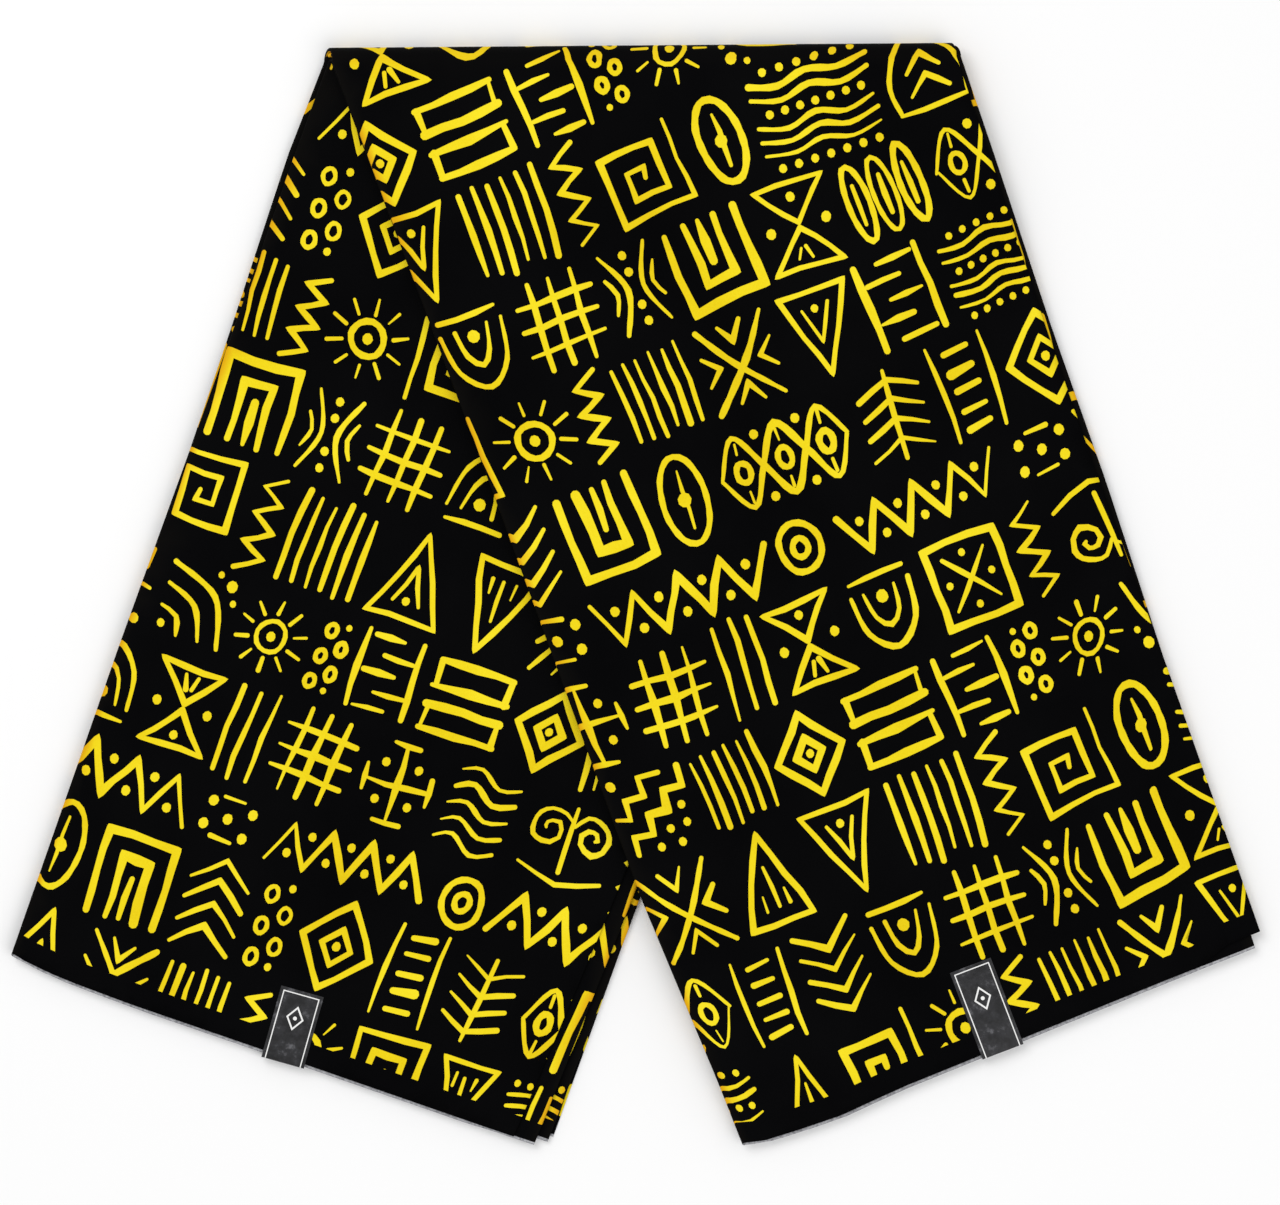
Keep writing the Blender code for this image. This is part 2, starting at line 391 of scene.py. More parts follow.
# %% Strokes to draw with
def points_in(text):
    """The points of a text such as "0.6,0.3 0.4,9.8"."""
    return [[float(part) for part in pair.split(",")] for pair in text.split()]


def stroke(kind, *points, weight=1.0):
    """A stroke through points that are given one by one or all in one text."""
    if isinstance(points[0], str):
        points = points_in(points[0])
    return {"kind": kind, "points": points, "weight": weight}


line = partial(stroke, "line")
curve = partial(stroke, "curve")
loop = partial(stroke, "loop")


def oval(x, y, across, up, weight=0.9):
    return stroke("oval", (x, y), (across, up), weight=weight)


def dot(x, y, radius=0.42):
    return stroke("dot", (x, y), (radius, radius * 1.1))


def lines(*texts, weight=1.0):
    return [line(points, weight=weight) for points in texts]


def dots(places, radius=0.42):
    return [dot(x, y, radius) for x, y in points_in(places)]


def ray(x, y, angle, near, far, weight=0.9):
    """A short stroke that points away from a middle."""
    c = math.cos(math.radians(angle))
    s = math.sin(math.radians(angle))
    return line((x + c * near, y + s * near), (x + c * far, y + s * far), weight=weight)


def wave(left, right, y, height, humps):
    """A wavy line from left to right."""
    count = humps * 2
    ups = (-height, height)
    return curve(*[(mix(left, right, step / count), y + ups[step % 2]) for step in range(count + 1)])


def spiral(x, y, start, turns, inner, outer, steps):
    """A round spiral from its middle out, its start in degrees, rightwards if turns is below nought."""
    found = []
    for step in range(steps + 1):
        share = step / steps
        angle = math.radians(start + 360 * turns * share)
        radius = mix(inner, outer, share)
        found.append((x + radius * math.cos(angle), y + radius * math.sin(angle)))
    return curve(*found)


print("A dot is drawn as", dot(0, 0))

# %% Charts of the motifs
MOTIFS = {
    "fence": (9, [
        line((0.5 + 1.6 * n, 0.2 + 0.3 * (n % 2)), (0.7 + 1.55 * n, 9.9 - 0.4 * (n % 3)))
        for n in range(6)]),
    "rails": (5, lines("0.6,0.3 0.4,9.8", "2.4,0 2.5,9.6", "4.3,0.4 4.5,10")),
    "bolt": (3.4, [line("0.4,0 2.9,1.5 0.5,2.9 3,4.4 0.4,5.8 2.9,7.3 0.5,8.6 2.7,10")]),
    "river": (12.6, [
        *[wave(0.3, 12.3, y, 0.32, 2) for y in (1.5, 3, 5.9, 7.2, 8.6)],
        *[dot(1.3 + 1.6 * n, 4.45) for n in range(7)], *[dot(0.9 + 1.7 * n, 10) for n in range(7)],
        *[dot(1.5 + 1.8 * n, 0.15) for n in range(6)]]),
    "eye": (8.6, [loop("4.3,0.1 8.5,5 4.3,9.9 0.1,5"), loop("4.3,3 6,5 4.3,7 2.6,5"), dot(4.3, 5, 0.5)]),
    "hook": (9.2, lines(
        "0.5,0.4 0.4,9.5 8.7,9.6 8.6,2 2.7,2.1 2.6,7.4 6.5,7.4 6.4,4.4 4.5,4.5 4.6,5.6", weight=1.15)),
    "cross": (8.6, [
        curve("0.4,0.2 3.7,4.9 8.1,9.9"), curve("8.2,0.3 4.9,5 0.5,9.7"),
        *lines("2.9,9.5 4.3,7.4 5.6,9.4", "3,0.4 4.3,2.6 5.7,0.5", weight=0.85),
        *lines("0.3,3.4 2,4.9 0.2,6.6", "8.4,3.5 6.7,5 8.4,6.7", weight=0.85)]),
    "net": (15, [
        *[curve(*[(0.3 + 2.4 * n, 5 + (0, up, 0, -up)[n % 4]) for n in range(7)]) for up in (3.9, -3.9)],
        *[oval(x, 5, 0.75, 1.1) for x in (2.7, 7.5, 12.3)],
        *dots("5.1,1.5 5.1,8.5 9.9,1.5 9.9,8.5", radius=0.5),
        *[ray(x, 5, angle, 2, 3.3, 0.7) for x in (2.7, 7.5, 12.3) for angle in (90, 270)]]),
    "sun": (8.6, [
        oval(4.3, 5, 1.9, 2, 1), dot(4.3, 5, 0.6),
        *[ray(4.3, 5, angle, 2.9, 4.6) for angle in range(20, 380, 36)]]),
    "combs": (8.2, [
        *lines("0.6,0.1 0.5,9.9", "7.7,0.1 7.6,9.8", weight=1.2),
        *[line((1.3, y), (5.2, y + 0.1)) for y in (0.5, 4.8, 9.3)],
        *[line((7, y), (3.1, y)) for y in (2.6, 7.1)]]),
    "ladder": (6.6, [
        *lines("0.4,0.1 0.7,9.9", "6.2,0 5.9,9.9"),
        *[line((2.1, y), (4.6, y + 0.25), weight=1.45) for y in (0.9, 2.9, 4.9, 6.9, 8.8)]]),
    "fishbone": (7.4, [
        line("3.7,0 3.6,9.9"),
        *[line((0.3, y + 1.5), (3.65, y), (7.1, y + 1.6), weight=0.9) for y in (1, 3.2, 5.4, 7.6)]]),
    "steps": (9.6, [
        line("0.4,0.3 0.4,2.8 2.9,2.8 2.9,5.2 5.3,5.2 5.3,7.6 7.8,7.6 7.8,9.9", weight=1.1),
        line("2.8,0.4 5.3,0.4 5.3,2.9 7.7,2.9 7.7,5.3 9.4,5.3", weight=1.1),
        *dots("1.1,5 1,7.2 3.2,7.5 2.2,9.4 4.9,9.4", radius=0.5), dot(8.9, 1, 0.6)]),
    "drum": (8, [
        loop("0.3,9.7 4,5.4 7.7,9.6"), loop("0.2,0.3 7.7,0.4 4,4.7"),
        *lines("3.4,8.7 3.8,7.2", "4.8,8.6 4.3,7.3", weight=0.8), dot(4, 1.8, 0.5),
        *dots("0.9,5 7.1,5", radius=0.55)]),
    "arrows": (7.2, [line((0.3, y), (3.6, y + 2.5), (6.9, y), weight=1.05) for y in (0.2, 2.6, 5, 7.3)]),
    "mat": (8.8, [
        *[line((x, 0.2), (x + 0.1, 9.8)) for x in (2, 4.4, 6.8)],
        *[line((0.2, y), (8.6, y + 0.1)) for y in (2.4, 5, 7.5)]]),
    "seeds": (4.2, [
        *[oval(x, y, 0.65, 0.85) for x, y in points_in("1,1.1 3.2,2.8 1,4.6 3.2,6.3 1.1,8.2")],
        *dots("3.2,0.5 3.1,9.3")]),
    "horns": (11, [
        spiral(2.9, 6.6, 200, -1.5, 0.5, 2.7, 14), spiral(8.1, 6.6, -20, 1.5, 0.5, 2.7, 14),
        *lines("0.4,1.9 5.5,0.4 10.6,1.9", "5.5,2 5.5,9.6")]),
    "gate": (9.4, [
        *lines("0.6,0.2 0.6,9.4 8.8,9.4 8.8,0.2", "3,0.2 3,7 6.4,7 6.4,0.2", weight=1.55),
        line("4.7,0.3 4.7,4.9", weight=1.4)]),
    "bars": (11, [
        *[line((0.6, y), (10.4, y + 0.1), weight=1.5) for y in (0.6, 3.8, 6.2, 9.4)],
        *[line((x, y), (x, y + 3), weight=1.4) for x in (0.9, 10.1) for y in (0.7, 6.3)]]),
    "moons": (8, [
        curve("0.4,2 1.2,6.6 4,8.9 6.9,6.5 7.6,2.1"), curve("2.2,2 2.7,5 4,6.3 5.4,4.9 5.9,2"),
        dot(4, 3, 0.7), line("0.8,0.4 7.3,0.5")]),
    "hut": (8.4, [
        loop("0.3,0.3 8.1,0.4 4.2,9.9"), line("2.6,2.1 4.2,6.2 5.8,2.2", weight=0.9), dot(4.2, 2.4, 0.45)]),
    "peak": (7.6, [
        loop("0.3,9.7 3.7,0.1 7.3,9.7"),
        *lines("3.8,3.4 3.7,7.9", "2.5,6.4 2.4,8.1", "5,6.4 5.2,8.1", weight=0.8)]),
    "leaf": (5.6, [oval(2.8, 5, 2.3, 4.7, 1), line("2.8,1.9 2.8,8", weight=0.8), dot(2.8, 5, 0.7)]),
    "box": (9.2, [
        loop("0.4,0.4 8.8,0.3 8.9,9.6 0.3,9.7"), *lines("1.9,2 7.3,8.1", "7.2,1.9 2,8"),
        *dots("4.6,1.9 4.6,8.1 2,5 7.2,5")]),
    "bows": (6.4, [
        curve("0.4,0.2 2.3,5 0.5,9.8"), curve("6,0.2 4.1,5 5.9,9.8"),
        curve("0.2,2.9 0.9,5 0.2,7", weight=0.8), curve("6.2,3 5.5,5 6.2,7.1", weight=0.8),
        *dots("3.2,1 3.2,3 3.2,7 3.2,9", radius=0.5)]),
    "ripples": (8.4, [
        curve((0.4, y), (2.6, y + 0.9), (5.4, y - 0.5), (8, y + 0.4)) for y in (0.8, 2.9, 5, 7.1, 9.1)]),
    "hills": (34, [
        line(*[(0.5 + 4.1 * n, 9 if n % 2 else 1) for n in range(9)], weight=1.1),
        *[dot(4.6 + 8.2 * n, 3.2, 0.85) for n in range(4)],
        *[dot(8.7 + 8.2 * n, 7.4, 0.85) for n in range(3)]]),
    "bead": (9, [oval(4.5, 5, 4, 4.8, 1.1), oval(4.5, 5, 1.5, 1.8, 0.9)]),
    "shield": (8.4, [
        curve("0.5,9.5 0.5,5.4 4.2,0.3 7.9,5.4 7.9,9.5"), line("0.4,9.6 8,9.5"),
        *lines("2.1,8 4.2,6 6.3,8", "2.4,5.5 4.2,3.5 6,5.5", weight=0.9)]),
    "plus": (8.6, [
        *lines("4.3,0.6 4.3,9.4", "0.6,5 8,5", weight=1.3),
        *[line((2.7, y), (5.9, y)) for y in (0.4, 9.6)], *[line((x, 3.4), (x, 6.6)) for x in (0.4, 8.2)],
        *dots("2.3,2.8 6.3,2.8 2.3,7.2 6.3,7.2", radius=0.5)]),
    "fan": (9.2, [
        curve("3.4,0.4 2.5,2.5 0.4,3.4"), curve("6.2,0.4 4.5,4.5 0.4,6.2"), curve("9,0.4 6.5,6.5 0.4,9"),
        dot(1, 1.1, 0.5), dot(8.2, 8.4, 0.7), *dots("6.4,9.4 9,6.4")]),
    "pods": (9.6, [
        *[oval(x, 5, 1.25, 4.6) for x in (1.6, 4.8, 8)],
        *[line((x, 2.6), (x + 0.1, 7.4), weight=0.8) for x in (1.6, 4.7, 7.9)]]),
    "stones": (11, [
        *dots("1.2,2.6 1.4,7.4 5.4,5 9.6,2.5 9.8,7.5", radius=1),
        *lines("3.2,9 7.6,9.2", "3.3,0.9 7.7,0.8")]),
}
print(len(MOTIFS), "motifs with", sum(len(strokes) for _, strokes in MOTIFS.values()), "strokes")

# %% [markdown]
# A roller printer works from one block that repeats. This block has seven rows, each with its height in
# millimetres and its motifs in order. Every motif leans and wobbles a little, as from a brush, and always
# in the same way, because the block is the same each time. The table of the hand says how far it strays
# either way: in degrees for the lean, in metres for the rise, in squares for a place and else as a share.

# %% Draw the block
BLOCK = (
    (56, "fence bolt sun hook peak river combs hut cross"),
    (60, "net leaf gate arrows seeds eye ladder fishbone"),
    (38, "hills bead hills stones"),
    (58, "drum rails mat plus ripples horns bolt box moons"),
    (52, "bars eye fence steps fan sun seeds combs"),
    (60, "hut peak cross shield river leaf hook bolt fence"),
    (57.3, "arrows ladder net pods drum gate bows mat moons"),
)
ROW_GAP = 0.0085
MOTIF_GAP = 0.0070
BRUSH = 0.0028
PRESS = (0.72, 1.20, 0.84)
MOTIF_SIZE = 1.01
ROUND_CORNERS = {"dot": 9, "oval": 8}
HAND = {
    "lean": 4, "size": 0.05, "rise": 0.0014, "bow": 0.022, "brush": 0.12, "swell": 0.05, "place": 0.13,
    "stroke": 0.18, "press": 0.30, "own bow": 0.008, "side bow": 0.03, "sway": 0.012, "angle": math.pi,
}
dice = random.Random(46)


def stray(name):
    return dice.uniform(-HAND[name], HAND[name])


def draw_motif(name, height):
    """A motif's strokes in metres from its own middle, leaning and wobbling as if by hand."""
    width, strokes = MOTIFS[name]
    square = height / 10
    lean = math.radians(stray("lean"))
    grow = MOTIF_SIZE + stray("size")
    rise = stray("rise")
    bow = stray("bow")
    hand = 1 + stray("brush")
    drawn = []
    for mark in strokes:
        kind = mark["kind"]
        points = mark["points"]
        if kind in ROUND_CORNERS:
            (x, y), (across, up) = points
            spin = stray("angle")
            count = ROUND_CORNERS[kind]
            points = []
            for step in range(count):
                angle = spin + 2 * math.pi * step / count
                swell = 1 + stray("swell")
                points.append((x + across * swell * math.cos(angle), y + up * swell * math.sin(angle)))
        else:
            points = [(x + stray("place"), y + stray("place")) for x, y in points]
        placed = []
        for x, y in points:
            dx = (x - width / 2) * square * grow
            dy = (y - 5) * square * grow
            moved_x = dx * math.cos(lean) - dy * math.sin(lean)
            placed.append(Vector((moved_x, dx * math.sin(lean) + dy * math.cos(lean) + rise)))
        full = BRUSH * mark["weight"] * hand * (1 + stray("stroke"))
        press = [full * part for part in (PRESS[0] + stray("press"), PRESS[1], PRESS[2] + stray("press"))]
        drawn.append({"kind": kind, "points": placed, "press": press, "bow": bow + stray("own bow")})
    return drawn, width * square


block = []
for height, names in BLOCK:
    block.append([draw_motif(name, height / 1000 - ROW_GAP) for name in names.split()])
print("The block has", sum(len(row) for row in block), "motifs in", len(block), "rows")


# %% [markdown]
# A brush leaves a stroke that swells, thins at its ends, and has round tips and corners. So each stroke's
# middle line becomes an outline: its two sides, set off by half the width, and a tip at each end. Curves
# are smoothed first, and long straight lines get a point or two that stray a little.

# %% Turn a stroke into an outline
CURVE_STEP = 0.0042
LOOP_STEP = 0.0030
SIDE_STEP = 0.014
WIDEST_AT = 0.45
LOOP_WIDTH = 0.95
RIPPLE = 0.10
RIPPLE_TURN = 1.9
PLAIN_MITRE = 1.15
LONGEST_MITRE = 2.1
CORNER_POINT = 0.55
TURNED_BACK = 0.2
TIP_LENGTH = 0.9
TIP_CORNERS = ((0.72, 0.69), (0, 1), (-0.72, 0.69))


def smoothed(points, closed):
    """Points of a smooth curve through the given ones, a few millimetres apart."""
    reach = LOOP_STEP if closed else CURVE_STEP
    ring = [points[-1], *points, *points[:2]] if closed else [points[0], *points, points[-1]]
    found = []
    for a, b, c, d in zip(ring, ring[1:], ring[2:], ring[3:]):
        steps = max(2 if closed else 1, round((c - b).length / reach))
        for step in range(steps):
            t = step / steps
            second = (2 * a - 5 * b + 4 * c - d) * t * t
            third = (3 * b - a - 3 * c + d) * t ** 3
            found.append(0.5 * (2 * b + (c - a) * t + second + third))
    if not closed:
        found.append(points[-1])
    return found


def strayed(points, closed, bow):
    """The given corners, each long side bowed a little and swaying. A lone side bows as its motif does."""
    found = []
    ends = points[1:] + points[:1] if closed else points[1:]
    for a, b in zip(points, ends):
        found.append(a)
        way = b - a
        aside = Vector((-way.y, way.x))
        side_bow = bow if len(points) == 2 else stray("side bow")
        steps = int(way.length / SIDE_STEP) + 1
        for step in range(1, steps):
            share = step / steps
            found.append(a + way * share + aside * (side_bow * 4 * share * (1 - share) + stray("sway")))
    if not closed:
        found.append(points[-1])
    return found


def sides(points, press, closed):
    """The two sides of a stroke, its corners a little rounded. Its widths are press."""
    phase = stray("angle")
    widths = tuple(zip((0, WIDEST_AT, 1), press))
    ways = [(b - a).normalized() for a, b in zip(points, points[1:] + points[:1])]
    if not closed:
        ways[-1] = ways[-2]
    lefts = []
    rights = []
    for index, (point, out) in enumerate(zip(points, ways)):
        into = ways[index - 1] if closed or index else out
        turns_back = (into + out).length < TURNED_BACK
        way = out if turns_back else (into + out).normalized()
        aside = Vector((-way.y, way.x))
        mitre = 1 / max(way.dot(out), 1 / LONGEST_MITRE)
        width = press[1] * LOOP_WIDTH if closed else read_table(widths, index / (len(points) - 1))
        half = width / 2 * (1 + RIPPLE * math.sin(phase + index * RIPPLE_TURN))
        if mitre < PLAIN_MITRE:
            lefts.append(point + aside * half * mitre)
            rights.append(point - aside * half * mitre)
            continue
        turns_left = into.x * out.y - into.y * out.x > 0
        inner, outer, sign = (lefts, rights, -1) if turns_left else (rights, lefts, 1)
        inner.append(point - aside * sign * half * mitre)
        outer.append(point + Vector((-into.y, into.x)) * sign * half)
        outer.append(point + aside * sign * half * mix(1, mitre, CORNER_POINT))
        outer.append(point + Vector((-out.y, out.x)) * sign * half)
    return lefts, rights


def tip(end, inner, side):
    """A round tip beyond an end, which starts from the stroke's corner side."""
    way = (end - inner).normalized()
    radius = (side - end).length
    from_side = (side - end).normalized()
    return [end + radius * (from_side * c + way * s * TIP_LENGTH) for c, s in TIP_CORNERS]


def around(corners):
    """Twice the signed area within corners: above nought if they run leftwards round."""
    return sum(a.x * b.y - b.x * a.y for a, b in zip(corners, corners[1:] + corners[:1]))


def outlines(mark):
    """A stroke's outlines as (corners, yellow): a closed stroke has a black hole in a yellow shape."""
    kind = mark["kind"]
    points = mark["points"]
    if kind == "dot":
        return [(points, True)]
    closed = kind in ("loop", "oval")
    if kind in ("curve", "oval"):
        points = smoothed(points, closed)
    else:
        points = strayed(points, closed, mark["bow"])
    lefts, rights = sides(points, mark["press"], closed)
    if closed:
        both = sorted((lefts, rights), key=lambda corners: -abs(around(corners)))
        both = [corners if around(corners) > 0 else corners[::-1] for corners in both]
        return [(both[0], True), (both[1], False)]
    end_tip = tip(points[-1], points[-2], rights[-1])
    start_tip = tip(points[0], points[1], lefts[0])
    return [(rights + end_tip + lefts[::-1] + start_tip, True)]


block_outlines = []
for row in block:
    block_outlines.append([
        ([shape for mark in drawn for shape in outlines(mark)], width) for drawn, width in row])
first_shapes = block_outlines[0][0][0]
print("The first motif's first outline has", len(first_shapes[0][0]), "corners")

# %% [markdown]
# The block is stamped over the flat cloth, each row starting at its own place. The inner layers are seen
# only at their turns, so the stamping keeps to a narrow band there. It also skips what the two legs hide
# between them, where the last layer lies on itself.

# %% Stamp the block over the cloth
SELVEDGE = 0.012
SIDE_BAND = 0.008
TURN_BANDS = (0.008, 0.009, 0.008, 0.015, 0.008)
HIDDEN_IN = 0.006
ROW_STARTS = (0.010, 0.045, 0.020, 0.030, 0.005, 0.040, 0.015)
BLOCK_SHIFT = 0.11
FIRST_ROW = -0.020


def between_legs(up, along):
    """Whether a place on the last layer is well inside both legs, which hide it."""
    column = column_at(along)
    station = station_at(up, leg_lengths(column))
    x, y, _ = pile_point(column, station)
    if station[0] == "start":
        return beside_line(x, y, CORNERS["fold"][0], CORNERS["end"][0]) > HIDDEN_IN
    return beside_line(x, y, CORNERS["fold"][1], CORNERS["start"][1]) < -HIDDEN_IN


def is_shown(corners):
    """Whether a shape on the flat cloth can be seen in the pile."""
    low = min(corner.y for corner in corners)
    high = max(corner.y for corner in corners)
    if high < 0 or low > CLOTH_LENGTH:
        return False
    if low < RUN + SIDE_BAND:
        return True
    if high > CLOTH_LENGTH - RUN - SIDE_BAND:
        inside = [(min(max(c.x, 0), CLOTH_WIDTH), min(max(c.y, 0), CLOTH_LENGTH)) for c in corners]
        return not all(between_legs(*place) for place in inside)
    turns = [layer * RUN + STRIP_WIDTH + TURN_ARC / 2 for layer in range(LAYERS - 1)]
    return any(low < turn + band and high > turn - band for turn, band in zip(turns, TURN_BANDS))


stamped = []
row_bottom = FIRST_ROW
row_number = 0
while row_bottom < CLOTH_WIDTH:
    index = row_number % len(BLOCK)
    height = BLOCK[index][0]
    middle_up = row_bottom + height / 2000
    along = -ROW_STARTS[index] - BLOCK_SHIFT * (row_number // len(BLOCK))
    motif_number = 0
    while along < CLOTH_LENGTH:
        shapes, width = block_outlines[index][motif_number % len(block_outlines[index])]
        middle_along = along + width / 2
        for corners, yellow in shapes:
            moved = [Vector((middle_up + corner.y, middle_along + corner.x)) for corner in corners]
            if is_shown(moved):
                stamped.append((moved[::-1], yellow))
        along += width + MOTIF_GAP
        motif_number += 1
    row_bottom += height / 1000
    row_number += 1
print(len(stamped), "shapes with", sum(len(corners) for corners, _ in stamped), "corners are stamped")

# %% [markdown]
# Now the mesh. Blender's constrained triangulation takes points, edges and outlines in a plane and gives
# triangles that follow all of them. Each triangle remembers which outlines it lies in, and the last of them
# gives its colour. The plain selvedges come last, so they cut the print off straight. Their outermost
# yarns are painted pale grey as a highlight for the light on the pile's edges, but not on the layer that
# lies on top.

# %% Cut the print into the flat cloth
EDGE_HIGHLIGHT_WIDTH = 0.0014
BEYOND = 0.02
flat_points = []
flat_edges = []
grid = {}
for c, along in enumerate(along_lines):
    lengths = leg_lengths(column_at(along))
    for s, station in enumerate(up_lines):
        grid[s, c] = len(flat_points)
        flat_points.append(Vector((up_of(station, lengths), along)))
for c, bent in enumerate(along_bent):
    if bent:
        flat_edges += [(grid[s, c], grid[s + 1, c]) for s in range(len(up_lines) - 1)]
for s, station in enumerate(up_lines):
    if station[0] == "fold" or up_lines[s - 1][0] == "fold":
        flat_edges += [(grid[s, c], grid[s, c + 1]) for c in range(len(along_lines) - 1)]
last_s = len(up_lines) - 1
last_c = len(along_lines) - 1
rim = [grid[s, 0] for s in range(last_s)] + [grid[last_s, c] for c in range(last_c)]
rim += [grid[s, last_c] for s in range(last_s, 0, -1)] + [grid[0, c] for c in range(last_c, 0, -1)]
flat_faces = [rim]
colours = [0]


def add_shape(corners, colour):
    first_index = len(flat_points)
    flat_points.extend(corners)
    flat_faces.append(list(range(first_index, first_index + len(corners))))
    colours.append(colour)


def add_ribbon(outside, inside, start, end, colour):
    """A strip beside a selvedge, with a corner at each line of the mesh, so it bends with the cloth."""
    places = [start] + [along for along in along_lines if start < along < end] + [end]
    edge = [(outside, start)] + [(inside, along) for along in places] + [(outside, end)]
    corners = [Vector(place) for place in edge]
    add_shape(corners if around(corners) > 0 else corners[::-1], colour)


for corners, yellow in stamped:
    add_shape(corners, 1 if yellow else 0)
far = CLOTH_LENGTH + BEYOND
add_ribbon(-BEYOND, SELVEDGE, -BEYOND, far, 0)
add_ribbon(CLOTH_WIDTH + BEYOND, CLOTH_WIDTH - SELVEDGE, -BEYOND, far, 0)
# These strips are painted pale grey, a painted highlight on the edges of all but the top layer.
add_ribbon(-BEYOND, EDGE_HIGHLIGHT_WIDTH, -BEYOND, CLOTH_LENGTH - RUN, 2)
add_ribbon(CLOTH_WIDTH + BEYOND, CLOTH_WIDTH - EDGE_HIGHLIGHT_WIDTH, RUN, far, 2)
cut = delaunay_2d_cdt(flat_points, flat_edges, flat_faces, 0, 1e-7, True)
cut_points, cut_faces, cut_inside = cut[0], cut[2], cut[5]
kept = [(face, colours[max(inside)]) for face, inside in zip(cut_faces, cut_inside) if 0 in inside]
yellow_count = sum(colour == 1 for _, colour in kept)
print(len(cut_points), "points and", len(kept), "triangles, of which", yellow_count, "are yellow")


# %% [markdown]
# Each material starts from what the real one is. Colours are given as on a screen and turned to linear, and
# small functions add the nodes.

# %% Helpers for materials
def screen_colour(code):
    """A colour such as #F5DC00 as linear red, green, blue and alpha."""
    found = []
    for start in (1, 3, 5):
        value = int(code[start:start + 2], 16) / 255
        found.append(value / 12.92 if value <= 0.04045 else ((value + 0.055) / 1.055) ** 2.4)
    return (*found, 1.0)


def add_node(tree, kind, settings=None, values=None, links=None):
    """A node of a kind, with its settings, its sockets' values, and links from (node, socket) by socket."""
    node = tree.nodes.new(kind)
    for name, value in (settings or {}).items():
        setattr(node, name, value)
    for name, value in (values or {}).items():
        node.inputs[name].default_value = value
    for name, (source, socket) in (links or {}).items():
        tree.links.new(source.outputs[socket], node.inputs[name])
    return node


def new_material(name):
    """A material with its node tree and its surface shader."""
    made = bpy.data.materials.new(name)
    made.use_nodes = True
    return made, made.node_tree, made.node_tree.nodes["Principled BSDF"]


def add_noise(tree, place, scale, detail, roughness=0.5):
    """A cloudy noise texture over a place, which is a (node, socket)."""
    values = {"Scale": scale, "Detail": detail, "Roughness": roughness}
    return add_node(tree, "ShaderNodeTexNoise", {}, values, {"Vector": place})


def add_colours(tree, source, steps):
    """A colour ramp with stops from (place, colour) pairs."""
    ramp = add_node(tree, "ShaderNodeValToRGB", {}, {}, {"Fac": source})
    stops = ramp.color_ramp.elements
    while len(stops) < len(steps):
        stops.new(0.5)
    for stop, (place, colour) in zip(stops, steps):
        stop.position = place
        stop.color = screen_colour(colour)
    return ramp


def add_bump(tree, shader, height, strength, distance):
    """Raises a surface where the height, a (node, socket), is light."""
    values = {"Strength": strength, "Distance": distance}
    bump = add_node(tree, "ShaderNodeBump", {}, values, {"Height": height})
    tree.links.new(bump.outputs["Normal"], shader.inputs["Normal"])


print("Lemon yellow in linear light is", [round(part, 3) for part in screen_colour("#F5DC00")])

# %% [markdown]
# Wax print cotton is a plain weave of fine yarn, starched so that it feels like paper when it is new. It is
# almost matt, with a faint sheen along the folds. Its yarns lie 0.35 mm apart, finer than the picture
# shows, so the weave is drawn three times as coarse. Black and yellow are the same cotton and share the
# weave: only the dye differs. Along the soft folds the colour is mixed towards a painted shade, a darker
# gold, on the yellow, and towards a painted sheen, a lighter and warmer black, on the black.

# %% Black and yellow cotton
YARN_PITCH = 0.0011
WAVE_PITCH = 0.314  # how far a wave texture of scale 1 repeats
CLOUD_SCALE = 14.0
GRAIN_SCALE = 900.0
GRAIN_SHARE = 0.25


def cotton(name, ramp_steps, fold_shade_and_sheen, roughness, specular):
    """Cotton with a plain weave in the cloth's own flat map, its dye a little uneven, and a colour painted
    along the folds for their shade and sheen.
    """
    made, tree, shader = new_material(name)
    flat = add_node(tree, "ShaderNodeUVMap", {"uv_map": "flat_cloth"})
    cloudy = add_noise(tree, (flat, "UV"), CLOUD_SCALE, 3.0, 0.55)
    grainy = add_noise(tree, (flat, "UV"), GRAIN_SCALE, 1.0)
    both = add_node(
        tree, "ShaderNodeMath", {"operation": "MULTIPLY_ADD"}, {1: GRAIN_SHARE},
        {0: (grainy, "Fac"), 2: (cloudy, "Fac")})
    dye = add_colours(tree, (both, "Value"), ramp_steps)
    # Along the folds the colour is mixed towards a painted shade on the yellow and a painted sheen on the
    # black.
    near = add_node(tree, "ShaderNodeAttribute", {"attribute_name": "near_fold"})
    painted_fold_mix = add_node(tree, "ShaderNodeMix", {"data_type": "RGBA"}, {"B": screen_colour(fold_shade_and_sheen)})
    tree.links.new(near.outputs["Fac"], painted_fold_mix.inputs[0])
    tree.links.new(dye.outputs["Color"], painted_fold_mix.inputs[6])
    tree.links.new(painted_fold_mix.outputs[2], shader.inputs["Base Color"])
    bands = {}
    for socket, direction in enumerate("XY"):
        band = add_node(
            tree, "ShaderNodeTexWave",
            {"wave_type": "BANDS", "bands_direction": direction, "wave_profile": "SIN"},
            {"Scale": WAVE_PITCH / YARN_PITCH, "Distortion": 0.6, "Detail": 1.0, "Detail Scale": 2.0},
            {"Vector": (flat, "UV")})
        bands[socket] = (band, "Fac")
    weave = add_node(tree, "ShaderNodeMath", {"operation": "MULTIPLY"}, {}, bands)
    add_bump(tree, shader, (weave, "Value"), 0.35, 0.00012)
    shader.inputs["Roughness"].default_value = roughness
    shader.inputs["Specular IOR Level"].default_value = specular
    shader.inputs["Sheen Weight"].default_value = 0.005
    shader.inputs["Sheen Roughness"].default_value = 0.4
    return made


black_steps = ((0.35, "#020203"), (0.85, "#060607"))
yellow_steps = ((0.38, "#E4C410"), (0.58, "#EFD516"), (0.8, "#F8E326"))
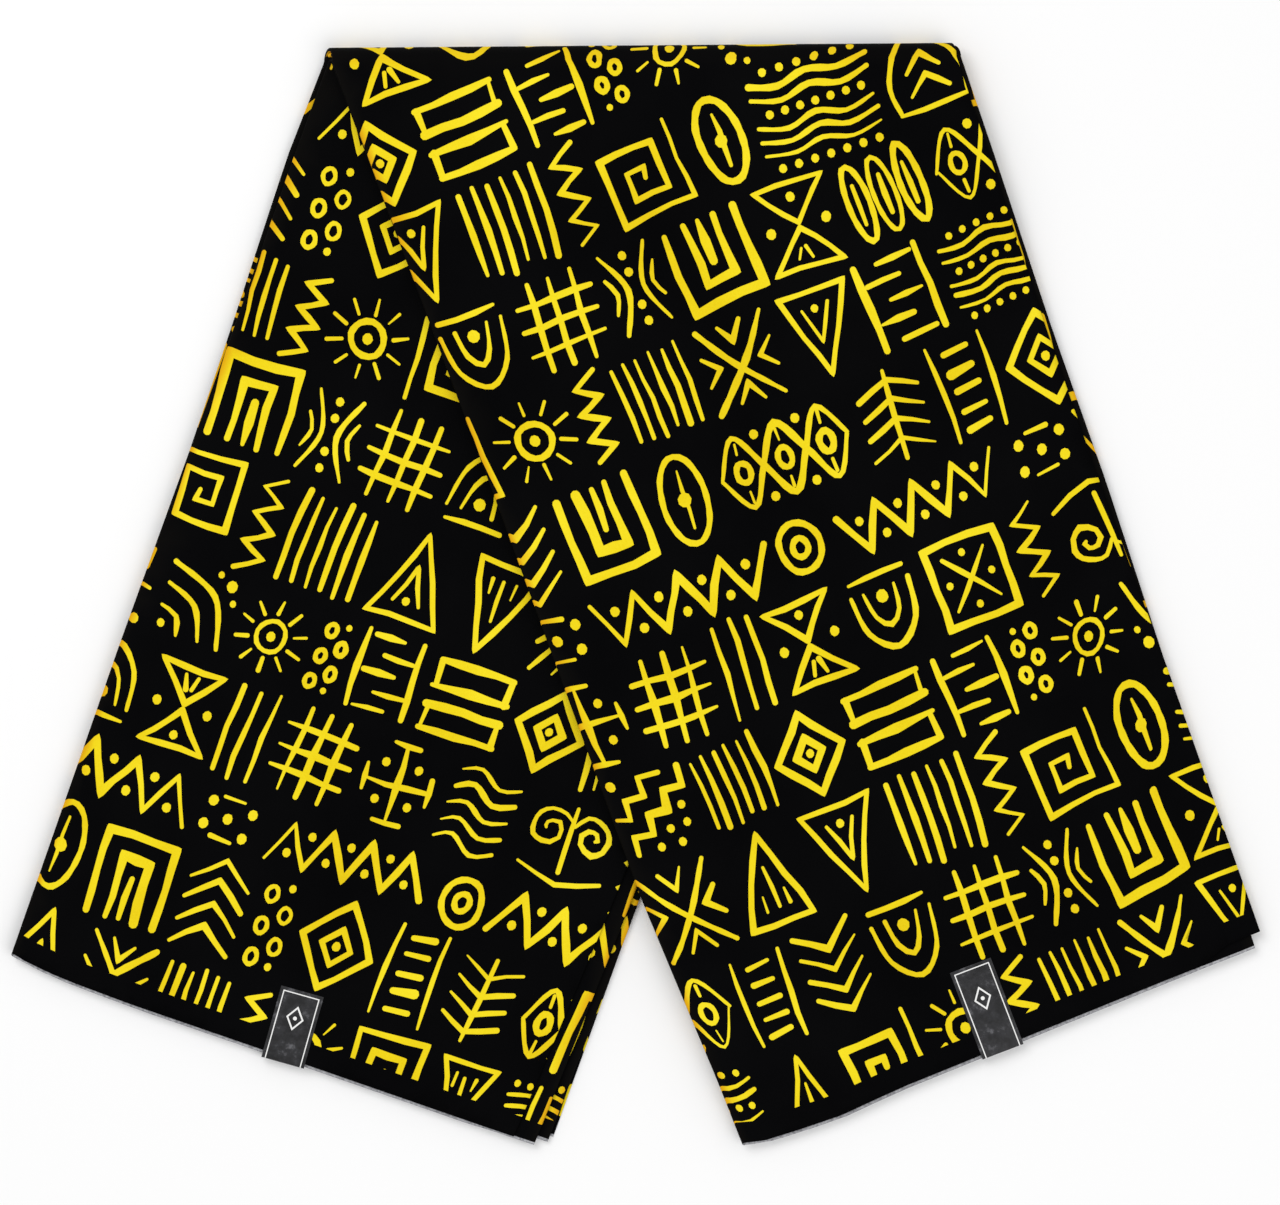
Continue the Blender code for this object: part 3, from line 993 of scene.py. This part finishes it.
# The third colour is painted along the folds: a lighter, warmer black as painted sheen, a darker gold as
# painted shade.
black_cotton = cotton("black_dyed_cotton", black_steps, "#0A0908", 0.78, 0.03)
yellow_cotton = cotton("yellow_dyed_cotton", yellow_steps, "#E0A80C", 0.72, 0.08)
print("The weave repeats every", 1000 * YARN_PITCH, "mm")

# %% [markdown]
# The sheet's rim, and a strip along the selvedges of every layer but the top one, are painted pale grey:
# a painted highlight for the light that catches the pile's edges. They are the thin pale lines under the
# cloth's ends.

# %% Painted highlight on the edges
edge_highlight, tree, shader = new_material("painted_pale_edges")
place = add_node(tree, "ShaderNodeTexCoord")
highlight_noise = add_noise(tree, (place, "Object"), 700.0, 2.0)
highlight_colour = add_colours(tree, (highlight_noise, "Fac"), ((0.3, "#7E7E82"), (0.7, "#BCBCC0")))
tree.links.new(highlight_colour.outputs["Color"], shader.inputs["Base Color"])
shader.inputs["Roughness"].default_value = 0.9
shader.inputs["Specular IOR Level"].default_value = 0.1
print("The yarn ends are drawn by", edge_highlight.name)

# %% [markdown]
# The cloth itself: every point of the flat triangles is folded to its place in the pile. The flat place is
# kept as the cloth's UV map, so the weave runs with the yarn round every fold. A second value says how near
# a point lies to a fold, for the painted shade and sheen there. A Solidify modifier could give the sheet its
# thickness, but in turns as tight as these its inner side would cross itself. So each point is set off both
# ways, square to the sheet as the fold rule lays it, and a rim joins the two sides, painted pale grey as a
# highlight on the cut edges.

# %% Fold the cloth
# How far the painted shade and sheen reach from a fold, and how strongly they show at the top fold.
FOLD_SOFTNESS = 0.0035
TOP_FOLD_TINT = 0.35
NUDGE = 0.00004


# The mask of the painted shade and sheen along the folds.
def near_fold(up, along):
    """1 at a turn or at the top fold, falling to 0 a few millimetres away."""
    away = min(abs(along - layer * RUN - STRIP_WIDTH - TURN_ARC / 2) for layer in range(LAYERS - 1))
    lower, arc, upper = leg_lengths(column_at(along))
    run = up * (lower + arc + upper) / CLOTH_WIDTH
    from_top = max(abs(run - lower - arc / 2) - arc / 2, 0)
    side = max(0.0, 1 - max(away - TURN_ARC / 2, 0) / FOLD_SOFTNESS)
    return max(side, TOP_FOLD_TINT * max(0.0, 1 - from_top / FOLD_SOFTNESS))


def laid(up, along):
    """Where a point lies in the pile, or the nearest one to it on the cloth."""
    return Vector(folded(min(max(up, 0), CLOTH_WIDTH), min(max(along, 0), CLOTH_LENGTH)))


def both_sides(up, along):
    """The points of the sheet's two sides at a place, half its thickness off its middle each way."""
    way_up = laid(up + NUDGE, along) - laid(up - NUDGE, along)
    way_along = laid(up, along + NUDGE) - laid(up, along - NUDGE)
    off = way_up.cross(way_along).normalized() * SHEET_THICK / 2
    return laid(up, along) + off, laid(up, along) - off


used = sorted({index for face, _ in kept for index in face})
new_index = {old: new for new, old in enumerate(used)}
used_flat = [cut_points[index] for index in used]
count = len(used)
tops, unders = zip(*(both_sides(*point) for point in used_flat))
top_faces = [[new_index[index] for index in face] for face, _ in kept]
under_faces = [[index + count for index in reversed(face)] for face in top_faces]
edges = {(a, b) for face in top_faces for a, b in zip(face, face[1:] + face[:1])}
rim_faces = [(b, a, a + count, b + count) for a, b in sorted(edges) if (b, a) not in edges]
dyes = [colour for _, colour in kept]
mesh = bpy.data.meshes.new("wax_print_sheet")
mesh.from_pydata(tops + unders, [], top_faces + under_faces + rim_faces)
# The rim faces get the pale grey of the painted edge highlight.
mesh.polygons.foreach_set("material_index", dyes + dyes + [2] * len(rim_faces))
mesh.polygons.foreach_set("use_smooth", [True] * (2 * len(kept)) + [False] * len(rim_faces))
flat_map = mesh.uv_layers.new(name="flat_cloth")
flat_places = [used_flat[corner.vertex_index % count] for corner in mesh.loops]
flat_map.data.foreach_set("uv", [part for place in flat_places for part in place])
softness = mesh.attributes.new("near_fold", "FLOAT", "POINT")
softness.data.foreach_set("value", 2 * [near_fold(p.x, p.y) for p in used_flat])
for made in (black_cotton, yellow_cotton, edge_highlight):
    mesh.materials.append(made)
mesh.update()
cloth = bpy.data.objects.new("wax_print_sheet", mesh)
bpy.context.scene.collection.objects.link(cloth)
cloth.data.calc_loop_triangles()
print("The cloth has", len(cloth.data.vertices), "points and", len(cloth.data.loop_triangles), "triangles")

# %% [markdown]
# The labels are strips of satin foil on paper, about 24 mm wide, stuck near the middle of each end and
# turned down over it. Each starts as a plane. Bisecting it marks out the thin white line round its face,
# and a spin rolls its end over the cloth's edge. The middle has nothing but a plain rhombus, extruded from
# a circle of four corners, which lies on the foil as a film of ink.

# %% Foil and its white line
foil, tree, shader = new_material("satin_foil_on_paper")
place = add_node(tree, "ShaderNodeTexCoord")
cloudy = add_noise(tree, (place, "Object"), 160.0, 4.0, 0.65)
foil_steps = ((0.40, "#18181A"), (0.58, "#2A2A2D"), (0.74, "#626266"))
foil_colour = add_colours(tree, (cloudy, "Fac"), foil_steps)
tree.links.new(foil_colour.outputs["Color"], shader.inputs["Base Color"])
rough = add_node(
    tree, "ShaderNodeMapRange", {}, {"To Min": 0.28, "To Max": 0.5}, {"Value": (cloudy, "Fac")})
tree.links.new(rough.outputs["Result"], shader.inputs["Roughness"])
add_bump(tree, shader, (cloudy, "Fac"), 0.2, 0.0001)
shader.inputs["Metallic"].default_value = 0.35
white_ink, tree, shader = new_material("white_ink_line")
shader.inputs["Base Color"].default_value = screen_colour("#F0F0EE")
shader.inputs["Roughness"].default_value = 0.5
print("The labels use", foil.name, "and", white_ink.name)

# %% Shape the labels
FOIL_THICK = 0.0002
FOIL_CLEAR = 0.0001
LINE_IN = 0.0018
LINE_WIDE = 0.0006
ROLL = 0.0010
ROLL_STEPS = 6
DROP = 0.0050
INK_CLEAR = 0.00002
INK_THICK = 0.00004
RHOMBUS = 0.0068
RHOMBUS_PLACE = 0.62
RHOMBUS_SHAPE = (0.72, 1, 1)
RHOMBUS_LINE = 0.0009
DOT_RADIUS = 0.0011
LABELS = {
    "foil_label_left": {
        "node": "label_left", "at": (-0.1929, -0.2559), "up": (0.2706, 0.9627),
        "width": 0.024, "length": 0.0405},
    "foil_label_right": {
        "node": "label_right", "at": (0.2004, -0.2499), "up": (-0.3564, 0.9343),
        "width": 0.0238, "length": 0.0505},
}


def cut_across(at, way):
    """Cuts the whole mesh in edit mode at a plane."""
    bpy.ops.mesh.select_all(action="SELECT")
    bpy.ops.mesh.bisect(plane_co=at, plane_no=way)


def pick(kind, test):
    """Selects in edit mode the edges or the faces that pass a test."""
    mesh = bpy.context.active_object.data
    bpy.ops.mesh.select_mode(type=kind)
    bpy.ops.mesh.select_all(action="DESELECT")
    bpy.ops.object.mode_set(mode="OBJECT")
    for part in mesh.edges if kind == "EDGE" else mesh.polygons:
        part.select = test(part)
    bpy.ops.object.mode_set(mode="EDIT")


def make_label(name, row):
    """A label along +Y with its outer end at the origin, rolled down over the cloth's end."""
    width, length = row["width"], row["length"]
    top = STACK + FOIL_CLEAR + FOIL_THICK / 2
    bpy.ops.mesh.primitive_plane_add(size=1, location=(0, 0, 0))
    label = bpy.context.active_object
    label.name = name
    bpy.ops.object.mode_set(mode="EDIT")
    bpy.ops.transform.resize(value=(width, length - ROLL, 1))
    bpy.ops.transform.translate(value=(0, ROLL + (length - ROLL) / 2, top))
    for inwards in (LINE_IN, LINE_IN + LINE_WIDE):
        for side in (-1, 1):
            cut_across((side * (width / 2 - inwards), 0, 0), (1, 0, 0))
        cut_across((0, length - inwards, 0), (0, 1, 0))
    for share in (0.25, 0.5, 0.75):
        cut_across((0, length * share, 0), (0, 1, 0))
    pick("EDGE", lambda edge: all(abs(label.data.vertices[v].co.y - ROLL) < 1e-6 for v in edge.vertices))
    bpy.ops.mesh.spin(steps=ROLL_STEPS, angle=math.pi / 2, center=(0, ROLL, top - ROLL), axis=(-1, 0, 0))
    bpy.ops.mesh.extrude_region_move(TRANSFORM_OT_translate={"value": (0, 0, ROLL - DROP)})
    bpy.ops.object.mode_set(mode="OBJECT")
    thicken = label.modifiers.new("foil thickness", "SOLIDIFY")
    thicken.thickness = FOIL_THICK
    thicken.offset = 0
    bpy.ops.object.modifier_apply(modifier=thicken.name)
    ink_level = top + FOIL_THICK / 2 + INK_CLEAR
    middle = (0, length * RHOMBUS_PLACE, ink_level)
    bpy.ops.object.mode_set(mode="EDIT")
    bpy.ops.mesh.select_mode(type="FACE")
    bpy.ops.mesh.select_all(action="DESELECT")
    bpy.ops.mesh.primitive_circle_add(vertices=4, radius=RHOMBUS, fill_type="NGON", location=middle)
    bpy.ops.transform.resize(value=RHOMBUS_SHAPE, center_override=middle)
    bpy.ops.mesh.inset(thickness=RHOMBUS_LINE)
    bpy.ops.mesh.delete(type="FACE")
    bpy.ops.mesh.primitive_circle_add(vertices=12, radius=DOT_RADIUS, fill_type="NGON", location=middle)
    pick("FACE", lambda face: face.center.z > ink_level - INK_CLEAR / 2)
    bpy.ops.mesh.extrude_region_move(TRANSFORM_OT_translate={"value": (0, 0, INK_THICK)})
    bpy.ops.object.mode_set(mode="OBJECT")
    for polygon in label.data.polygons:
        centre = polygon.center
        side_in = width / 2 - abs(centre.x)
        end_in = length - centre.y
        on_side = LINE_IN < side_in < LINE_IN + LINE_WIDE and end_in > LINE_IN
        on_end = LINE_IN < end_in < LINE_IN + LINE_WIDE and side_in > LINE_IN
        is_ink = centre.z > ink_level - INK_CLEAR / 2
        polygon.material_index = 1 if on_side or on_end or is_ink else 0
    return label


made_labels = []
for name, row in LABELS.items():
    label = make_label(name, row)
    made_labels.append(label)
    print(name, "has", len(label.data.polygons), "faces")

# %% [markdown]
# The labels are turned and moved to their ends of the cloth, and lifted with the ridges of the pile, as
# foil stuck on cloth follows it.

# %% Set the labels in place, hang every piece on the root body and hide its part
SHARPEST_SMOOTH = 40
for label, row in zip(made_labels, LABELS.values()):
    label.data.materials.append(foil)
    label.data.materials.append(white_ink)
    bpy.context.view_layer.objects.active = label
    label.select_set(True)
    bpy.ops.object.mode_set(mode="EDIT")
    bpy.ops.mesh.select_all(action="SELECT")
    bpy.ops.mesh.normals_make_consistent(inside=False)
    bpy.ops.object.mode_set(mode="OBJECT")
    up_way = Vector(row["up"]).normalized()
    for vertex in label.data.vertices:
        x, y, z = vertex.co
        px = row["at"][0] + up_way.y * x + up_way.x * y
        py = row["at"][1] - up_way.x * x + up_way.y * y
        vertex.co = (px, py, lift(px, py, z))
    bpy.ops.object.shade_smooth_by_angle(angle=math.radians(SHARPEST_SMOOTH))
    label.select_set(False)
    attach(label, "root")
    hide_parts(row["node"])
    print(label.name, "is set in place")
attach(cloth, "root")
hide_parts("cloth")

# %% [markdown]
# The cloth lies on a plain white table top, lit softly from all round, as in a shop's picture.

# %% Floor
bpy.ops.mesh.primitive_plane_add(size=6, location=(0, 0, 0))
floor = bpy.context.active_object
floor.name = "white_table_top"
white_board, tree, shader = new_material("matt_white_board")
shader.inputs["Base Color"].default_value = screen_colour("#FAFAFA")
shader.inputs["Roughness"].default_value = 0.9
shader.inputs["Specular IOR Level"].default_value = 0.1
floor.data.materials.append(white_board)
print("The cloth lies on", floor.name)


# %% Soft light
ROOM_LIGHT = 0.60


def add_light(name, place, size, power):
    """A square lamp that faces the middle of the cloth."""
    bpy.ops.object.light_add(type="AREA", location=place)
    lamp = bpy.context.active_object
    lamp.name = name
    lamp.data.size = size
    lamp.data.energy = power
    lamp.rotation_euler = Vector(place).to_track_quat("Z", "Y").to_euler()
    return lamp


add_light("window_light", (-1.1, 1.2, 2.5), 1.8, 33)
add_light("fill_light", (1.4, -1.4, 2.4), 2.2, 24)
world = bpy.data.worlds.new("white_studio")
bpy.context.scene.world = world
world.use_nodes = True
background = world.node_tree.nodes["Background"]
background.inputs["Color"].default_value = (1, 1, 1, 1)
background.inputs["Strength"].default_value = ROOM_LIGHT
bpy.context.scene.view_settings.view_transform = "Standard"
print("Two lamps and a white room light the cloth")
